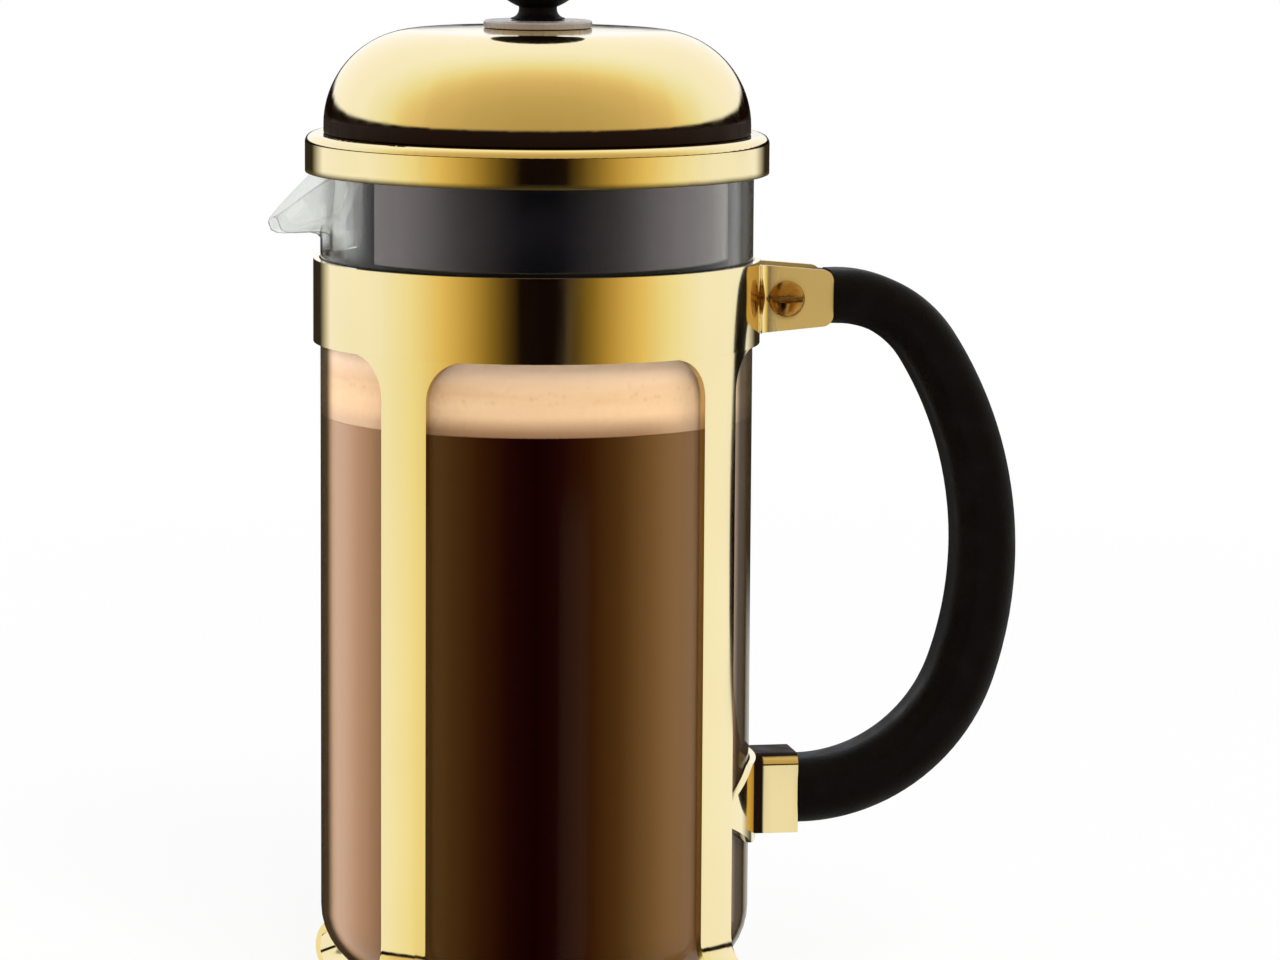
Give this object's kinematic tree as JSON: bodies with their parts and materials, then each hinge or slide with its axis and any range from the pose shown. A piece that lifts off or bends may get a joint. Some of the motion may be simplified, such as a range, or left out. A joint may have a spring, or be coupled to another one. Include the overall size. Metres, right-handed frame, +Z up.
{
  "type": "french press",
  "caption": "Glass coffee press in a gold sheet metal frame with a C handle, domed lid and pull-up plunger that pushes a spring edged mesh filter down the beaker.",
  "frame": {"origin": "on the beaker's axis, on the surface that the feet stand on", "axes": "+Z up along the beaker's axis and the rod, +X towards the handle, -X towards the spout"},
  "size_m": [0.1695, 0.1028, 0.2481],
  "materials": {
    "gold_plate": "polished",
    "borosilicate": "clear polished",
    "black_handle": "fine grain",
    "black_liner": "glossy",
    "steel": "satin",
    "brass_insert": "machined",
    "coffee": "liquid, shown in the scene only",
    "foam": "fine foam, shown in the scene only"
  },
  "bodies": {
    "frame": {"frame_band": "gold_plate", "leg_front_left": "gold_plate", "leg_front_right": "gold_plate", "leg_back_right": "gold_plate", "leg_back_left": "gold_plate", "base_plate": "gold_plate", "base_rivets": "gold_plate", "handle_strap": "gold_plate", "lower_bracket": "gold_plate", "handle_grip": "black_handle", "clamp_screw": "gold_plate", "clamp_nut": "gold_plate", "lower_screw": "steel", "handle_insert": "brass_insert"},
    "beaker": {"beaker": "borosilicate"},
    "lid_ring": {"lid_rim": "gold_plate"},
    "lid": {"lid_dome": "gold_plate", "lid_liner": "black_liner", "lid_bushing": "steel", "bushing_nut": "steel"},
    "filter": {"spiral_plate": "steel", "filter_spring": "steel", "mesh_filter": "steel", "cross_plate": "steel", "filter_hub": "steel"},
    "rod": {"plunger_rod": "steel", "knob": "black_handle", "knob_insert": "brass_insert"}
  },
  "joints": [
    {"name": "beaker_lift", "type": "slide", "parent": "frame", "child": "beaker", "axis": [0, 0, 1], "range_m": [0, 0.18]},
    {"name": "lid_lift", "type": "slide", "parent": "beaker", "child": "lid_ring", "axis": [0, 0, 1], "range_m": [0, 0.19]},
    {"name": "lid_turn", "type": "hinge", "parent": "lid_ring", "child": "lid", "pos_m": [0, 0, 0.195], "axis": [0, 0, 1], "continuous": true},
    {"name": "plunger_slide", "type": "slide", "parent": "lid", "child": "filter", "axis": [0, 0, 1], "range_m": [0, 0.124]},
    {"name": "knob_turn", "type": "hinge", "parent": "filter", "child": "rod", "pos_m": [0, 0, 0.03], "axis": [0, 0, 1], "continuous": true}
  ]
}
